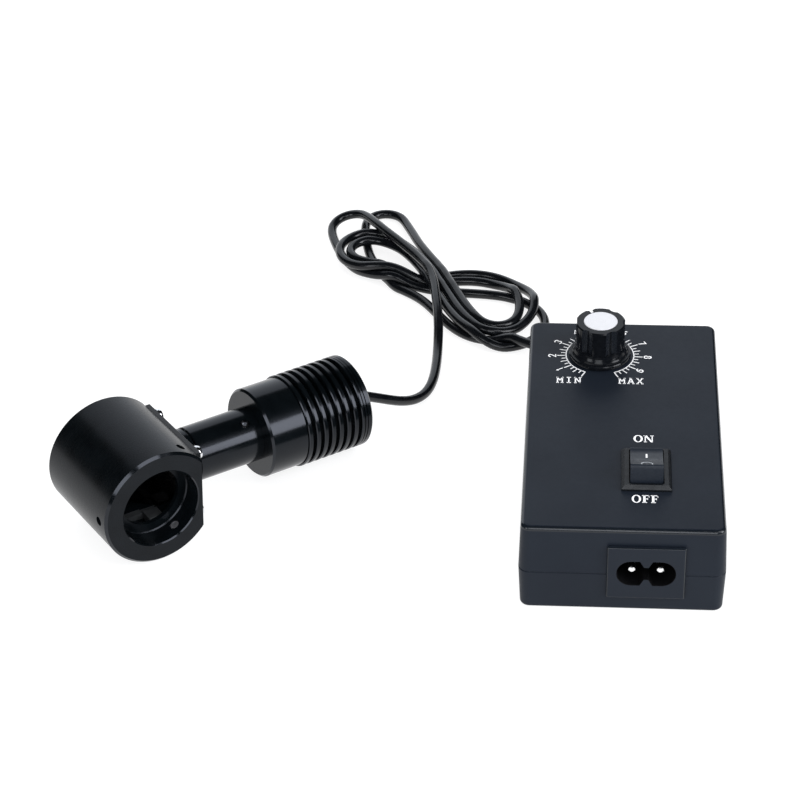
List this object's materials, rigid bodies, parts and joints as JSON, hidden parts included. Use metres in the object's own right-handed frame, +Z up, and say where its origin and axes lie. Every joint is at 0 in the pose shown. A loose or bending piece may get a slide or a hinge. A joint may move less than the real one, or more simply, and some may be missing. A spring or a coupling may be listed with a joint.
{
  "type": "coaxial illuminator",
  "caption": "Coaxial illuminator: a beam-splitter head with a finned LED lamp on its side arm, corded to a dimmer box with a dial knob, rocker switch and mains inlet.",
  "frame": {"origin": "centre of the control box's base, on the table", "axes": "+X to the box's right as seen from its inlet end (the head lies at -X), +Y away from the inlet end, +Z up"},
  "size_m": [0.2131, 0.2372, 0.044],
  "materials": {
    "case_plastic": "fine texture",
    "switch_plastic": "satin",
    "knob_plastic": "satin",
    "cap_metal": "spun",
    "white_mark": "gloss",
    "black_anodised": "black anodised, satin",
    "screw_steel": "polished",
    "grub_steel": "blackened",
    "pot_metal": "plated",
    "carbon_track": "matte",
    "contact_brass": "satin",
    "plated_pin": "polished",
    "board_laminate": "satin",
    "ferrite": "matte",
    "winding_tape": "gloss",
    "can_sleeve": "gloss",
    "chip_epoxy": "matte",
    "clear_glass": "polished",
    "half_mirror": "half-silvered",
    "wire_sheath": "satin",
    "black_rubber": "matte",
    "cord_sheath": "satin",
    "led_substrate": "white solder mask",
    "led_phosphor": "gloss"
  },
  "bodies": {
    "box": {"upper_case": "case_plastic", "lower_case": "case_plastic", "inlet_housing": "case_plastic", "switch_frame": "switch_plastic", "case_screws": "screw_steel", "board_screws": "screw_steel", "pot_body": "pot_metal", "pot_nut": "pot_metal", "pot_washer": "pot_metal", "pot_terminals": "pot_metal", "pot_track": "carbon_track", "switch_terminals": "contact_brass", "inlet_pins": "plated_pin", "circuit_board": "board_laminate", "transformer_core": "ferrite", "transformer_winding": "winding_tape", "input_capacitor": "can_sleeve", "output_capacitor": "can_sleeve", "driver_transistor": "chip_epoxy", "fuse": "clear_glass", "mains_wires": "wire_sheath", "dimmer_wires": "wire_sheath", "output_wires": "wire_sheath", "cord_gland": "black_rubber", "cord_lead": "cord_sheath", "cord_hank": "cord_sheath", "cord_tail": "cord_sheath"},
    "knob": {"dimmer_knob": "knob_plastic", "knob_cap": "cap_metal", "knob_pointer": "white_mark", "pot_shaft": "pot_metal", "pot_wiper": "contact_brass"},
    "rocker": {"rocker": "switch_plastic", "switch_plunger": "contact_brass"},
    "contact_lever": {"switch_lever": "contact_brass"},
    "head": {"head_body": "black_anodised", "splitter_holder": "black_anodised", "beam_splitter": "half_mirror", "rear_ring": "black_anodised", "side_plate": "black_anodised", "side_plate_screws": "screw_steel", "light_tube": "black_anodised", "tube_screw": "grub_steel", "condenser_lens": "clear_glass", "lens_ring": "black_anodised", "lamp_collar": "black_anodised", "heat_sink": "black_anodised", "led_board": "led_substrate", "led_emitter": "led_phosphor", "led_screws": "screw_steel", "lamp_leads": "wire_sheath", "rear_grommet": "black_rubber"},
    "clamp_a": {"clamp_screw_a": "grub_steel"},
    "clamp_b": {"clamp_screw_b": "grub_steel"},
    "clamp_c": {"clamp_screw_c": "grub_steel"}
  },
  "joints": [
    {"name": "dimmer_turn", "type": "hinge", "parent": "box", "child": "knob", "pos_m": [-0.0075, 0.037, 0.0375], "axis": [0, 0, 1], "range_deg": [-182, 128]},
    {"name": "switch_rock", "type": "hinge", "parent": "box", "child": "rocker", "pos_m": [0.0071, -0.0274, 0.0295], "axis": [1, 0, 0], "range_deg": [0, 30]},
    {"name": "contact_flip", "type": "hinge", "parent": "box", "child": "contact_lever", "pos_m": [0.0071, -0.0274, 0.0204], "axis": [1, 0, 0], "range_deg": [-16, 0]},
    {"name": "head_lift", "type": "slide", "parent": "box", "child": "head", "axis": [0, 0, 1], "range_m": [0, 0.03]},
    {"name": "clamp_a", "type": "slide", "parent": "head", "child": "clamp_a", "axis": [-0.4283, -0.3334, -0.8399], "range_m": [-0.0015, 0.003]},
    {"name": "clamp_b", "type": "slide", "parent": "head", "child": "clamp_b", "axis": [0.7881, 0.6135, -0.0501], "range_m": [-0.0015, 0.003]},
    {"name": "clamp_c", "type": "slide", "parent": "head", "child": "clamp_c", "axis": [-0.3598, -0.2801, 0.89], "range_m": [-0.0015, 0.003]}
  ],
  "couplings": [
    {"joint": "contact_flip", "follows": "switch_rock", "ratio": -0.53333}
  ]
}
